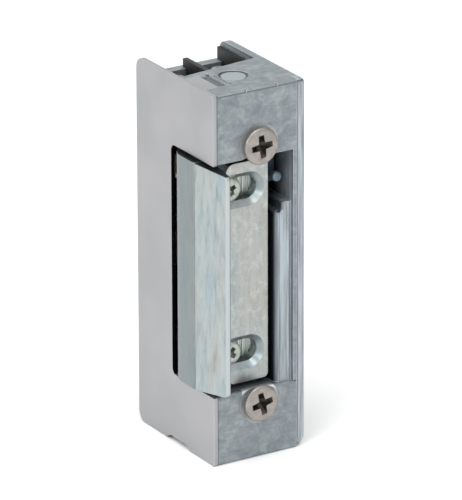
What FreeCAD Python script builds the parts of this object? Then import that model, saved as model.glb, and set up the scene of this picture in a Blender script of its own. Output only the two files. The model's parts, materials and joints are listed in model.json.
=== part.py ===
import FreeCAD, Part
import math
import os

# Electric door strike, in millimetres.
# X runs across the width (cover plate at -X, solid wall at +X), Y runs from the front face
# into the door frame, Z is up.  The origin is the centre of the front face.

Vector = FreeCAD.Vector

# --- driving dimensions ---------------------------------------------------------------------
half_width = 10.25
depth = 28.0
half_height = 37.5
cover_thickness = 0.8
wall_thickness = 2.0
rear_wall_thickness = 2.0
rear_wall_top = 33.65
back_corner_radius = 2.3
cover_cut_back_y = 15.3
bottom_tab_front_y = 8.9
bottom_tab_back_y = 18.1
bottom_tab_low_z = -36.5

cover_inner_x = -half_width + cover_thickness
wall_inner_x = half_width - wall_thickness
rear_inner_y = depth - rear_wall_thickness

opening_bottom_z = -23.4
opening_top_z = 23.75
opening_right_x = 7.5
top_block_back_left_y = 12.8
top_block_back_right_y = 14.9

pillar_left_x = 3.9
pillar_front_y = 1.0
pillar_top_left_z = 11.2
pillar_top_right_z = 13.1
pillar_step_x = 5.4
ledge_left_x = 1.5
ledge_front_y = 10.25
ledge_top_z = 9.0

faceplate_screw_x = -0.2
faceplate_screw_z = 26.1
faceplate_screw_proud = 1.4
faceplate_screw_radius = 1.97
faceplate_hole_radius = 2.0
faceplate_recess_radius = 4.3
faceplate_recess_depth = 1.3

pivot_x = -7.4
pivot_y = 10.2
pivot_pin_radius = 1.25
pivot_pin_half_length = 32.0
barrel_radius = 4.0

keeper_half_height = 23.0
keeper_front_y = 5.3
keeper_back_y = 10.0
keeper_right_x = 3.2
keeper_left_x = -11.45

jaw_back_y = 5.2
jaw_floor_y = 2.2
jaw_tip_y = -3.45
jaw_plate_half_height = 22.37
jaw_tip_half_height = 22.25
jaw_inner_x = -8.1
slot_low_z = -16.3
slot_high_z = 16.8
slot_left_x = -4.75
slot_right_x = -1.05
slot_bevel_half_width = 3.45
slot_half_width = 2.3
jaw_screw_x = -4.65
jaw_screw_radius = 1.45
jaw_screw_head_radius = 2.5
jaw_screw_head_y = 3.05

tail_radius = 5.2
tail_angle = 80.0
tail_tip_radius = 0.8
tail_half_height = 4.0

lever_axis_y = 20.0
lever_axis_z = -18.0
lever_left_x = -5.0
lever_right_x = -1.5
lever_front_y = 18.0
lever_back_y = 20.5
lever_top_z = 10.9
lever_hub_radius = 2.4
lever_pin_radius = 1.0
nose_front_y = 14.4
nose_left_x = -6.3
nose_half_height = 3.5
nose_gap = 0.5
lever_spring_z = 4.0

armature_axis_x = 7.2
armature_axis_z = 12.1
armature_bottom_z = 11.4
armature_top_z = 12.9
armature_left_x = -7.4
armature_front_y = 15.6
armature_back_y = 25.5
armature_pin_radius = 0.5
armature_spring_x = -7.5
catch_front_y = 21.7
catch_bottom_z = 10.4

coil_x = -0.6
coil_y = 20.7
core_radius = 2.2
pole_z = 14.9
bobbin_bottom_z = 16.2
bobbin_top_z = 27.6
flange_thickness = 0.8
yoke_top_z = 29.0

carrier_top_z = 31.0
terminal_x = 4.2
terminal_y = 22.0

slider_pin_x = 6.2
slider_pin_y = 8.0
slider_pin_radius = 0.6
slider_bottom_z = 15.5
slider_top_z = 20.5
button_x = 5.9
button_z = 17.5
button_front_y = 3.0

running_gap = 0.05
press_gap = 0.02


# --- shape helpers --------------------------------------------------------------------------
def block(x0, x1, y0, y1, z0, z1):
    return Part.makeBox(x1 - x0, y1 - y0, z1 - z0, Vector(x0, y0, z0))


def rod_x(radius, x0, x1, y, z):
    return Part.makeCylinder(radius, x1 - x0, Vector(x0, y, z), Vector(1, 0, 0))


def rod_y(radius, y0, y1, x, z):
    return Part.makeCylinder(radius, y1 - y0, Vector(x, y0, z), Vector(0, 1, 0))


def rod_z(radius, z0, z1, x, y):
    return Part.makeCylinder(radius, z1 - z0, Vector(x, y, z0), Vector(0, 0, 1))


def cone_y(radius_front, radius_back, y0, y1, x, z):
    return Part.makeCone(radius_front, radius_back, y1 - y0, Vector(x, y0, z), Vector(0, 1, 0))


def joined(shapes):
    whole = shapes[0]
    for shape in shapes[1:]:
        whole = whole.fuse(shape)
    return whole.removeSplitter()


def outline(corners, place):
    """Closed wire through corners (u, v) or (u, v, radius); place maps u, v to a Vector."""
    count = len(corners)
    spans = []
    for index, corner in enumerate(corners):
        here = place(corner[0], corner[1])
        before = place(*corners[index - 1][:2])
        after = place(*corners[(index + 1) % count][:2])
        radius = corner[2] if len(corner) > 2 else 0
        if radius == 0:
            spans.append((here, None, here))
            continue
        back = (before - here).normalize()
        ahead = (after - here).normalize()
        half_angle = back.getAngle(ahead) / 2
        reach = radius / math.tan(half_angle)
        bulge = radius / math.sin(half_angle) - radius
        middle = here + (back + ahead).normalize() * bulge
        spans.append((here + back * reach, middle, here + ahead * reach))
    edges = []
    for index, span in enumerate(spans):
        if span[1] is not None:
            edges.append(Part.Arc(span[0], span[1], span[2]).toShape())
        following = spans[(index + 1) % count][0]
        if (following - span[2]).Length > 1e-6:
            edges.append(Part.makeLine(span[2], following))
    return Part.Wire(edges)


def prism_x(corners, x0, x1):
    wire = outline(corners, lambda y, z: Vector(x0, y, z))
    return Part.Face(wire).extrude(Vector(x1 - x0, 0, 0))


def prism_y(corners, y0, y1):
    wire = outline(corners, lambda x, z: Vector(x, y0, z))
    return Part.Face(wire).extrude(Vector(0, y1 - y0, 0))


def prism_z(corners, z0, z1):
    wire = outline(corners, lambda x, y: Vector(x, y, z0))
    return Part.Face(wire).extrude(Vector(0, 0, z1 - z0))


def obround_y(half_width, x0, x1, z, y0, y1):
    """Bar along Y whose section is an obround between centres x0 and x1."""
    middle = block(x0, x1, y0, y1, z - half_width, z + half_width)
    return joined([middle, rod_y(half_width, y0, y1, x0, z), rod_y(half_width, y0, y1, x1, z)])


def coil_spring(radius, wire_radius, length, turns, placement):
    """Round-wire helix along its own Z, from z = wire_radius to length - wire_radius."""
    rise = length - 2 * wire_radius
    helix = Part.makeHelix(rise / turns, rise, radius)
    section = Part.Wire(Part.makeCircle(wire_radius, Vector(radius, 0, 0), Vector(0, 1, 0)))
    spring = Part.Wire(helix).makePipeShell([section], True, True)
    spring.translate(Vector(0, 0, wire_radius))
    spring.Placement = placement.multiply(spring.Placement)
    return spring


def cross_recess_y(width, reach, y0, y1, x, z):
    upright = block(x - width / 2, x + width / 2, y0, y1, z - reach, z + reach)
    level = block(x - reach, x + reach, y0, y1, z - width / 2, z + width / 2)
    return upright.fuse(level)


# --- housing --------------------------------------------------------------------------------
def casting_solid_wall():
    corners = [
        (0, -half_height, 2.5),
        (depth, -half_height, back_corner_radius),
        (depth, half_height, back_corner_radius),
        (0, half_height, 1.0),
    ]
    wall = prism_x(corners, wall_inner_x, half_width)
    front_edges = [
        edge
        for edge in wall.Edges
        if edge.BoundBox.XMin > half_width - 0.01 and edge.BoundBox.YMax < 0.01
    ]
    return wall.makeFillet(0.85, front_edges)


def casting_top_block():
    corners = [
        (cover_inner_x, 0),
        (wall_inner_x, 0),
        (wall_inner_x, top_block_back_right_y),
        (cover_inner_x, top_block_back_left_y),
    ]
    return prism_z(corners, opening_top_z, half_height)


def casting_lower_block():
    corners = [
        (0, -half_height, 0.6),
        (depth, -half_height, back_corner_radius),
        (depth, opening_bottom_z),
        (0, opening_bottom_z, 0.9),
    ]
    return prism_x(corners, cover_inner_x, wall_inner_x)


def casting_pillar():
    corners = [
        (pillar_left_x, pillar_front_y, 0.9),
        (opening_right_x, pillar_front_y),
        (opening_right_x, ledge_front_y),
        (pillar_left_x, ledge_front_y),
    ]
    pillar = prism_z(corners, opening_bottom_z, pillar_top_left_z)
    step = block(
        pillar_step_x, opening_right_x, pillar_front_y, ledge_front_y,
        pillar_top_left_z, pillar_top_right_z,
    )
    rim = block(
        opening_right_x, wall_inner_x, 0, ledge_front_y, opening_bottom_z, opening_top_z
    )
    backing = block(
        ledge_left_x, wall_inner_x, ledge_front_y, rear_inner_y, opening_bottom_z, ledge_top_z
    )
    shelf = block(
        pillar_left_x, wall_inner_x, ledge_front_y, 12.0, ledge_top_z, pillar_top_left_z
    )
    ridges = [
        rod_z(0.3, opening_bottom_z, pillar_top_left_z, 4.75, pillar_front_y + 0.1),
        rod_z(0.25, opening_bottom_z, pillar_top_right_z, 7.05, pillar_front_y + 0.05),
    ]
    return joined([pillar, step, rim, backing, shelf] + ridges)


def casting_lever_lugs():
    lugs = []
    for left, right in ((-6.9, -5.3), (-1.2, ledge_left_x)):
        lugs.append(block(left, right, lever_axis_y, rear_inner_y, -20.4, -15.6))
        lugs.append(rod_x(lever_hub_radius, left, right, lever_axis_y, lever_axis_z))
    return joined(lugs)


def faceplate_recess(z):
    x = faceplate_screw_x
    hole = rod_y(faceplate_hole_radius, 0, 16, x, z)
    recess = cone_y(faceplate_recess_radius, faceplate_hole_radius, 0, faceplate_recess_depth, x, z)
    return hole.fuse(recess)


def ejector_mark():
    """Marks on the top face: a sunk disc in a deeper ring, a narrow ridge beside it, and pits."""
    x = -0.55
    y = 8.5
    disc = rod_z(2.4, half_height - 0.2, half_height + 1, x, y)
    ring = rod_z(2.9, half_height - 0.45, half_height + 1, x, y)
    ring = ring.cut(rod_z(2.4, half_height - 1, half_height + 2, x, y))
    pits = [
        rod_z(0.45, half_height - 0.5, half_height + 1, -4.6, 11.3),
        rod_z(0.4, half_height - 0.5, half_height + 1, -3.3, 5.1),
    ]
    steps = [
        block(-6.3, -4.45, 4.3, 10.9, half_height - 0.3, half_height + 1),
        block(-4.05, -3.5, 5.1, 10.7, half_height - 0.25, half_height + 1),
    ]
    return joined([disc, ring] + pits + steps)


def casting_cuts():
    groove = block(8.42, 8.57, -1, 0.25, -36.6, 36.8)
    top_tab = block(cover_inner_x - 1, -6.3, 4.3, 11.7, half_height - 0.85, half_height + 1)
    bottom_tab = block(
        cover_inner_x - 1, -6.3, bottom_tab_front_y, bottom_tab_back_y,
        -half_height - 1, bottom_tab_low_z + cover_thickness + running_gap,
    )
    pivot_bore = rod_z(
        pivot_pin_radius + press_gap, -pivot_pin_half_length, pivot_pin_half_length,
        pivot_x, pivot_y,
    )
    lever_bore = rod_x(lever_pin_radius + press_gap, -8, 1.0, lever_axis_y, lever_axis_z)
    slider_bore = rod_z(
        slider_pin_radius + press_gap, pillar_top_right_z - 2, opening_top_z + 2,
        slider_pin_x, slider_pin_y,
    )
    front_chamfer = prism_x([(-0.1, 37.2), (-0.1, 37.6), (0.3, 37.6)], cover_inner_x - 1, wall_inner_x)
    edge_nicks = [
        prism_y([(x - 0.5, half_height + 1), (x + 0.5, half_height + 1), (x, 37.0)], -1, 0.9)
        for x in (-3.0, 3.9)
    ]
    rear_marks = [rod_y(2.2, depth - 0.2, depth + 1, -1, z) for z in (-27, 0, 27)]
    return [
        groove, top_tab, bottom_tab, pivot_bore, lever_bore, slider_bore, front_chamfer,
        faceplate_recess(faceplate_screw_z), faceplate_recess(-faceplate_screw_z),
        ejector_mark(),
    ] + edge_nicks + rear_marks


def housing_casting():
    rear_wall = block(
        cover_inner_x, wall_inner_x, rear_inner_y, depth, opening_bottom_z, rear_wall_top
    )
    spring_stud = rod_y(0.7, rear_inner_y - 1.2, rear_inner_y, -3.25, lever_spring_z)
    casting = joined([
        casting_solid_wall(), casting_top_block(), casting_lower_block(), rear_wall,
        casting_pillar(), casting_lever_lugs(), spring_stud,
    ])
    return casting.cut(casting_cuts())


def cover_plate():
    corners = [
        (0, -half_height, 0.4),
        (bottom_tab_front_y, -half_height),
        (bottom_tab_front_y + 1.7, bottom_tab_low_z),
        (bottom_tab_back_y - 2.1, bottom_tab_low_z),
        (bottom_tab_back_y, -half_height),
        (depth, -half_height, back_corner_radius),
        (depth, half_height, back_corner_radius),
        (0, half_height, 0.4),
        (0, 23.6),
        (cover_cut_back_y, 23.6, 1.3),
        (cover_cut_back_y, opening_bottom_z, 1.3),
        (0, opening_bottom_z),
    ]
    plate = prism_x(corners, -half_width, cover_inner_x)
    top_tab = block(
        cover_inner_x, -6.4, 4.4, 11.6, half_height - cover_thickness, half_height
    )
    bottom_tab = block(
        cover_inner_x, -6.4, bottom_tab_front_y + 0.1, bottom_tab_back_y - 0.1,
        bottom_tab_low_z, bottom_tab_low_z + cover_thickness,
    )
    return joined([plate, top_tab, bottom_tab])


def keeper_pivot_pin():
    return rod_z(
        pivot_pin_radius, -pivot_pin_half_length + 0.1, pivot_pin_half_length - 0.1,
        pivot_x, pivot_y,
    )


def faceplate_screw(z):
    """M4 countersunk screw with a slightly domed head, standing proud of the front face."""
    x = faceplate_screw_x
    head_radius = 3.68
    top = -faceplate_screw_proud
    rim_y = top + 0.35
    cone_start = rim_y + 0.3
    cone_end = cone_start + head_radius - faceplate_screw_radius
    dome = cone_y(3.1, head_radius, top, rim_y, x, z)
    rim = rod_y(head_radius, rim_y, cone_start, x, z)
    cone = cone_y(head_radius, faceplate_screw_radius, cone_start, cone_end, x, z)
    shank = rod_y(faceplate_screw_radius, cone_end, 11.5, x, z)
    recess = cross_recess_y(0.75, 2.1, top - 1, top + 1.7, x, z)
    return joined([dome, rim, cone, shank]).cut(recess)


def faceplate_screws():
    return Part.makeCompound([faceplate_screw(-faceplate_screw_z), faceplate_screw(faceplate_screw_z)])


# --- keeper ---------------------------------------------------------------------------------
def keeper_tail():
    angle = math.radians(tail_angle)
    tip_x = pivot_x + tail_radius * math.cos(angle)
    tip_y = pivot_y + tail_radius * math.sin(angle)
    tip = rod_z(tail_tip_radius, -tail_half_height, tail_half_height, tip_x, tip_y)
    root = block(
        tip_x - tail_tip_radius, tip_x + tail_tip_radius, pivot_y + 2, tip_y,
        -tail_half_height, tail_half_height,
    )
    return tip.fuse(root)


def keeper_base():
    corners = [
        (keeper_left_x, keeper_front_y, 0.4),
        (keeper_right_x, keeper_front_y, 0.5),
        (keeper_right_x, keeper_back_y, 0.8),
        (pivot_x, keeper_back_y),
        (pivot_x - barrel_radius, pivot_y),
    ]
    body = prism_z(corners, -keeper_half_height, keeper_half_height)
    barrel = rod_z(barrel_radius, -keeper_half_height, keeper_half_height, pivot_x, pivot_y)
    bore = rod_z(pivot_pin_radius + running_gap, -40, 40, pivot_x, pivot_y)
    spring_gap = joined([
        block(-10.2, -4.0, pivot_y, 15, 8, 15),
        rod_z(2.8, 8, 15, pivot_x, pivot_y),
    ])
    base = joined([body, barrel, keeper_tail()]).cut([bore, spring_gap])
    grooves = []
    for step in range(10):
        x = -7.0 + step
        corners = [(x - 0.45, keeper_front_y - 0.1), (x + 0.45, keeper_front_y - 0.1), (x, 5.8)]
        for z in (slot_low_z, slot_high_z):
            grooves.append(prism_z(corners, z - 3.6, z + 3.6))
    for z in (slot_low_z, slot_high_z):
        grooves.append(rod_y(jaw_screw_radius + press_gap, 5, 9.3, jaw_screw_x, z))
    return base.cut(grooves)


def jaw_lip():
    profile = [
        (-9.33, jaw_tip_y, 0.25),
        (-8.52, jaw_tip_y, 0.25),
        (jaw_inner_x, jaw_floor_y),
        (jaw_inner_x, jaw_back_y),
        (-11.5, jaw_back_y, 0.4),
    ]
    lip = prism_z(profile, -keeper_half_height, keeper_half_height)
    ends = [
        (jaw_tip_y, -jaw_tip_half_height, 0.9),
        (jaw_back_y, -keeper_half_height),
        (jaw_back_y, keeper_half_height),
        (jaw_tip_y, jaw_tip_half_height, 0.9),
    ]
    return lip.common(prism_x(ends, -12, jaw_inner_x))


def jaw_plate():
    high = jaw_plate_half_height
    corners = [
        (jaw_inner_x - 0.05, -20.4),
        (-6.1, -20.4, 0.3),
        (-6.1, -high, 1.8),
        (keeper_right_x, -high, 1.0),
        (keeper_right_x, high, 1.0),
        (-6.1, high, 1.8),
        (-6.1, 20.4, 0.3),
        (jaw_inner_x - 0.05, 20.4),
    ]
    return prism_y(corners, jaw_floor_y, jaw_back_y)


def jaw_slot(z):
    """Obround slot with a 45 degree bevel at the floor."""
    depth_of_bevel = slot_bevel_half_width - slot_half_width
    slot = obround_y(slot_half_width, slot_left_x, slot_right_x, z, jaw_floor_y - 1, jaw_back_y + 1)
    ends = [
        cone_y(slot_bevel_half_width, slot_half_width, jaw_floor_y, jaw_floor_y + depth_of_bevel, x, z)
        for x in (slot_left_x, slot_right_x)
    ]
    trough = prism_x([
        (jaw_floor_y, z - slot_bevel_half_width),
        (jaw_floor_y, z + slot_bevel_half_width),
        (jaw_floor_y + depth_of_bevel, z + slot_half_width),
        (jaw_floor_y + depth_of_bevel, z - slot_half_width),
    ], slot_left_x, slot_right_x)
    return joined([slot, trough] + ends)


def keeper_jaw():
    jaw = jaw_lip().fuse(jaw_plate()).removeSplitter()
    return jaw.cut([jaw_slot(slot_low_z), jaw_slot(slot_high_z)])


def jaw_screw(z):
    taper = jaw_screw_head_radius - jaw_screw_radius
    head = cone_y(
        jaw_screw_head_radius, jaw_screw_radius, jaw_screw_head_y, jaw_screw_head_y + taper,
        jaw_screw_x, z,
    )
    shank = rod_y(jaw_screw_radius, jaw_screw_head_y + taper, 9.2, jaw_screw_x, z)
    recess = cross_recess_y(0.55, 1.35, 2.5, 4.2, jaw_screw_x, z)
    return joined([head, shank]).cut(recess)


def jaw_screws():
    return Part.makeCompound([jaw_screw(slot_low_z), jaw_screw(slot_high_z)])


def keeper_return_spring():
    placement = FreeCAD.Placement(Vector(pivot_x, pivot_y, 8.4), FreeCAD.Rotation())
    return coil_spring(2.0, 0.35, 6.2, 6, placement)


# --- locking lever --------------------------------------------------------------------------
def lever_nose():
    tip_x = pivot_x + tail_radius * math.cos(math.radians(tail_angle))
    tip_y = pivot_y + tail_radius * math.sin(math.radians(tail_angle))
    cam = tip_x + tip_y + math.sqrt(2) * (tail_tip_radius + nose_gap)
    corners = [
        (lever_right_x, nose_front_y),
        (lever_right_x, lever_back_y),
        (nose_left_x, lever_back_y),
        (nose_left_x, cam - nose_left_x),
        (cam - nose_front_y, nose_front_y, 0.2),
    ]
    return prism_z(corners, -nose_half_height, nose_half_height)


def locking_lever():
    bar = block(lever_left_x, lever_right_x, lever_front_y, lever_back_y, lever_axis_z, lever_top_z)
    hub = rod_x(lever_hub_radius, lever_left_x, lever_right_x, lever_axis_y, lever_axis_z)
    bore = rod_x(lever_pin_radius + running_gap, -10, 5, lever_axis_y, lever_axis_z)
    return joined([bar, hub, lever_nose()]).cut(bore)


def lever_pivot_pin():
    return rod_x(lever_pin_radius, -7.3, 0.9, lever_axis_y, lever_axis_z)


def lever_spring():
    turn = FreeCAD.Rotation(Vector(0, 0, 1), Vector(0, 1, 0))
    placement = FreeCAD.Placement(Vector(-3.25, lever_back_y, lever_spring_z), turn)
    return coil_spring(1.3, 0.2, rear_inner_y - lever_back_y, 5, placement)


# --- electromagnet --------------------------------------------------------------------------
def armature():
    plate = block(
        armature_left_x, 6.0, armature_front_y, armature_back_y, armature_bottom_z, armature_top_z
    )
    neck = block(6.0, armature_axis_x, 17.1, 24.1, 11.5, 12.7)
    knuckle = rod_y(0.9, 17.1, 24.1, armature_axis_x, armature_axis_z)
    catch = block(-4.6, -1.6, catch_front_y, catch_front_y + 1.2, catch_bottom_z, armature_bottom_z)
    spring_ear = block(-8.8, armature_left_x, 18.9, 22.5, armature_bottom_z, armature_top_z)
    bore = rod_y(armature_pin_radius + running_gap, 10, 30, armature_axis_x, armature_axis_z)
    return joined([plate, neck, knuckle, catch, spring_ear]).cut(bore)


def armature_shim():
    return block(coil_x - 2.6, coil_x + 2.6, coil_y - 2.6, coil_y + 2.6, armature_top_z, 13.0)


def armature_hinge_pin():
    return rod_y(armature_pin_radius, 15.4, 25.8, armature_axis_x, armature_axis_z)


def armature_spring():
    placement = FreeCAD.Placement(Vector(armature_spring_x, coil_y, armature_top_z), FreeCAD.Rotation())
    return coil_spring(0.8, 0.2, 5.5, 4, placement)


def yoke():
    leg = block(6.6, 8.1, 15.4, 25.8, 14.3, yoke_top_z)
    top = block(-6.5, 8.1, 16.8, 24.6, bobbin_top_z, yoke_top_z)
    ears = [block(6.3, 8.1, y, y + 1.4, 11.0, 14.3) for y in (15.4, 24.4)]
    bores = [
        rod_y(armature_pin_radius + press_gap, 10, 30, armature_axis_x, armature_axis_z),
        rod_z(core_radius + press_gap, 20, 30, coil_x, coil_y),
    ]
    return joined([leg, top] + ears).cut(bores)


def core():
    return rod_z(core_radius, pole_z, yoke_top_z, coil_x, coil_y)


def coil_bobbin():
    tube = rod_z(2.9, bobbin_bottom_z, bobbin_top_z, coil_x, coil_y)
    lower = block(-8.9, 5.6, 15.4, 25.9, bobbin_bottom_z, bobbin_bottom_z + flange_thickness)
    upper = block(-6.8, 5.6, 15.4, 25.9, bobbin_top_z - flange_thickness, bobbin_top_z)
    boss = block(-8.9, -6.1, coil_y - 1.4, coil_y + 1.4, bobbin_bottom_z, 19.3)
    pocket = rod_z(1.05, bobbin_bottom_z - 1, 18.5, armature_spring_x, coil_y)
    bore = rod_z(core_radius + press_gap, 10, 30, coil_x, coil_y)
    return joined([tube, lower, upper, boss]).cut([pocket, bore])


def coil_ring(inner, outer):
    low = bobbin_bottom_z + flange_thickness
    high = bobbin_top_z - flange_thickness
    return rod_z(outer, low, high, coil_x, coil_y).cut(rod_z(inner, low, high, coil_x, coil_y))


def coil_winding():
    return coil_ring(2.9, 4.95)


def coil_wrap():
    return coil_ring(4.95, 5.1)


def coil_leads():
    return Part.makeCompound([
        rod_z(0.35, bobbin_top_z, yoke_top_z, x, 16.0) for x in (-terminal_x, terminal_x)
    ])


# --- terminals ------------------------------------------------------------------------------
def terminal_carrier():
    base = block(-9.3, 8.15, 15.3, 25.9, yoke_top_z, carrier_top_z)
    left = block(-9.3, -8.5, 16.0, 25.9, carrier_top_z, 36.0)
    centre = block(-0.5, 0.5, 17.0, 25.9, carrier_top_z, 35.4)
    centre_back = block(-0.5, 0.5, 25.9, 27.0, rear_wall_top + 0.1, 35.4)
    right = block(7.5, 8.15, 16.0, 25.9, carrier_top_z, 36.2)
    right_back = block(7.5, 8.15, 25.9, 27.5, rear_wall_top + 0.1, 36.2)
    holes = [rod_z(1.5, 28, 32, x, terminal_y) for x in (-terminal_x, terminal_x)]
    return joined([base, left, centre, centre_back, right, right_back]).cut(holes)


def terminal_contact(x):
    plate = block(x - 2.9, x + 2.9, 16.6, 25.4, carrier_top_z, carrier_top_z + 0.5)
    return plate.cut(rod_z(1.5, 28, 33, x, terminal_y))


def terminal_contacts():
    return Part.makeCompound([terminal_contact(-terminal_x), terminal_contact(terminal_x)])


def terminal_clamp(x):
    low = carrier_top_z + 0.5
    plate = block(x - 2.7, x + 2.7, terminal_y - 2.7, terminal_y + 2.7, low, low + 0.7)
    return plate.cut(rod_z(1.5, 28, 34, x, terminal_y))


def terminal_clamps():
    return Part.makeCompound([terminal_clamp(-terminal_x), terminal_clamp(terminal_x)])


def terminal_screw(x):
    seat = carrier_top_z + 1.2
    head_top = seat + 1.7
    shank = rod_z(1.45, yoke_top_z + 0.1, seat, x, terminal_y)
    head = rod_z(2.4, seat, head_top, x, terminal_y)
    upright = block(x - 0.3, x + 0.3, terminal_y - 1.5, terminal_y + 1.5, head_top - 0.9, head_top)
    level = block(x - 1.5, x + 1.5, terminal_y - 0.3, terminal_y + 0.3, head_top - 0.9, head_top)
    return joined([shank, head]).cut([upright, level])


def terminal_screws():
    return Part.makeCompound([terminal_screw(-terminal_x), terminal_screw(terminal_x)])


# --- hold-open slider -----------------------------------------------------------------------
def hold_open_slider():
    body = block(4.9, 7.3, 6.6, 9.6, slider_bottom_z, slider_top_z)
    finger = block(5.3, 6.3, 9.6, 14.6, 18.0, 19.5)
    bore = rod_z(slider_pin_radius + running_gap, 10, 30, slider_pin_x, slider_pin_y)
    return joined([body, finger]).cut(bore)


def slider_button():
    stem = rod_y(0.7, 4.2, 6.6, button_x, button_z)
    head = rod_y(1.0, button_front_y + 0.3, 4.2, button_x, button_z)
    dome = cone_y(0.75, 1.0, button_front_y, button_front_y + 0.3, button_x, button_z)
    return joined([stem, head, dome])


def slider_guide_pin():
    return rod_z(
        slider_pin_radius, pillar_top_right_z - 1.9, opening_top_z + 1.9,
        slider_pin_x, slider_pin_y,
    )


# --- export ---------------------------------------------------------------------------------
builders = [
    housing_casting,
    cover_plate,
    keeper_pivot_pin,
    faceplate_screws,
    keeper_base,
    keeper_jaw,
    jaw_screws,
    keeper_return_spring,
    locking_lever,
    lever_pivot_pin,
    lever_spring,
    armature,
    armature_shim,
    armature_hinge_pin,
    armature_spring,
    yoke,
    core,
    coil_bobbin,
    coil_winding,
    coil_wrap,
    coil_leads,
    terminal_carrier,
    terminal_contacts,
    terminal_clamps,
    terminal_screws,
    hold_open_slider,
    slider_button,
    slider_guide_pin,
]

os.makedirs("parts", exist_ok=True)
for builder in builders:
    shape = builder()
    shape.exportStep("parts/" + builder.__name__ + ".step")
    print(builder.__name__, len(shape.Solids), "solids", round(shape.Volume, 2), "mm3", shape.isValid())
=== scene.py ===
import json
import math

import bmesh
import bpy
from mathutils import Matrix, Vector

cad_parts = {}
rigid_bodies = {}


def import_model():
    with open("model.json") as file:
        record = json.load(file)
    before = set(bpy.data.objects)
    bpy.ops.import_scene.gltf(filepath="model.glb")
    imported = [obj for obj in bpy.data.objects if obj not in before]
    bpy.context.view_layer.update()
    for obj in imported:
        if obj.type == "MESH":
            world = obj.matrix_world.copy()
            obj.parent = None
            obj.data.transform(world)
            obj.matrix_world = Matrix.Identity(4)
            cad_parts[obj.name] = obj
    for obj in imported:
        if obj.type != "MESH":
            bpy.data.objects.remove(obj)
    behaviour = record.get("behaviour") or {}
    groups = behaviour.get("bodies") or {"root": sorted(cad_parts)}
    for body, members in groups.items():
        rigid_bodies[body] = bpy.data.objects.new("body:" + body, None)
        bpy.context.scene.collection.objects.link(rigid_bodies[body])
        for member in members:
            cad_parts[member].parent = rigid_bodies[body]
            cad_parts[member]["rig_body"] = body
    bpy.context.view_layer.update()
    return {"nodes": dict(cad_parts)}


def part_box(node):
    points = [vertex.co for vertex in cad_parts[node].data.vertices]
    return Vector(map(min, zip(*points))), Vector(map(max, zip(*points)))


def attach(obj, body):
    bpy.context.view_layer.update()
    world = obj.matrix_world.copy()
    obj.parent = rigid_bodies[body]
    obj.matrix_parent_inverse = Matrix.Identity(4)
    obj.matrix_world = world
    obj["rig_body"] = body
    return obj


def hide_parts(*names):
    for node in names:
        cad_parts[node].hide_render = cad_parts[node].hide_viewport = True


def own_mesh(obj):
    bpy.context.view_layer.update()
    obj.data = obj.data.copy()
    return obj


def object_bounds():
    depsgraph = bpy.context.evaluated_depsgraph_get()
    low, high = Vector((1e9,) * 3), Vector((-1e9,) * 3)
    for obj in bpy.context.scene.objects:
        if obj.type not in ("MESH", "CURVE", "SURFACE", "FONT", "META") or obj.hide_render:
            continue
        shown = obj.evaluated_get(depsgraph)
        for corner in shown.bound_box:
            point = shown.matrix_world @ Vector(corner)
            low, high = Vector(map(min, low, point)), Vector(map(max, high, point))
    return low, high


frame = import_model()
nodes = frame["nodes"]
mm = 0.001
print("frame loaded:", len(nodes), "nodes")


def hexToLinear(code):
    channels = [int(code[i:i + 2], 16) / 255 for i in (1, 3, 5)]
    return [c / 12.92 if c <= 0.04045 else ((c + 0.055) / 1.055) ** 2.4 for c in channels] + [1.0]


# adds one node; stops is for a colour ramp, as (position, hex) pairs
def addNode(tree, kind, inputs=None, stops=None, **settings):
    node = tree.nodes.new(kind)
    for name, value in settings.items():
        setattr(node, name, value)
    for name, value in (inputs or {}).items():
        socket = node.inputs[name]
        if isinstance(value, bpy.types.NodeSocket):
            tree.links.new(value, socket)
        else:
            socket.default_value = value
    if stops:
        elements = node.color_ramp.elements
        while len(elements) < len(stops):
            elements.new(0.5)
        for element, (position, code) in zip(elements, stops):
            element.position = position
            element.color = hexToLinear(code)
    return node


# a metal or plastic with its place in millimetres, its rounded normal, and a mask of its edges, which are
# lightened both as wear and as a painted highlight
def startMaterial(name, v):
    material = bpy.data.materials.new(name)
    material.use_nodes = True
    tree = material.node_tree
    shader = tree.nodes["Principled BSDF"]
    shader.inputs["Metallic"].default_value = v["metallic"]
    shader.inputs["Roughness"].default_value = v["roughness"]
    coordinates = addNode(tree, "ShaderNodeTexCoord")
    place = addNode(tree, "ShaderNodeVectorMath", {
        0: coordinates.outputs["Object"], "Scale": 1 / mm,
    }, operation="SCALE")
    rounded = addNode(tree, "ShaderNodeBevel", {"Radius": v["edge"] * mm}, samples=6)
    flat = addNode(tree, "ShaderNodeNewGeometry")
    agree = addNode(tree, "ShaderNodeVectorMath", {
        0: flat.outputs["Normal"], 1: rounded.outputs["Normal"],
    }, operation="DOT_PRODUCT")
    edgeWearAndHighlight = addNode(tree, "ShaderNodeMapRange", {
        "Value": agree.outputs["Value"], "From Min": 1.0, "From Max": 0.8,
    })
    axes = addNode(tree, "ShaderNodeSeparateXYZ", {0: place.outputs["Vector"]})
    facing = addNode(tree, "ShaderNodeSeparateXYZ", {0: coordinates.outputs["Normal"]})
    return {
        "material": material, "tree": tree, "shader": shader, "place": place.outputs["Vector"],
        "axes": axes.outputs, "facing": facing.outputs, "rounded": rounded.outputs["Normal"],
        "edgeWearAndHighlight": edgeWearAndHighlight.outputs["Result"],
    }


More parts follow.
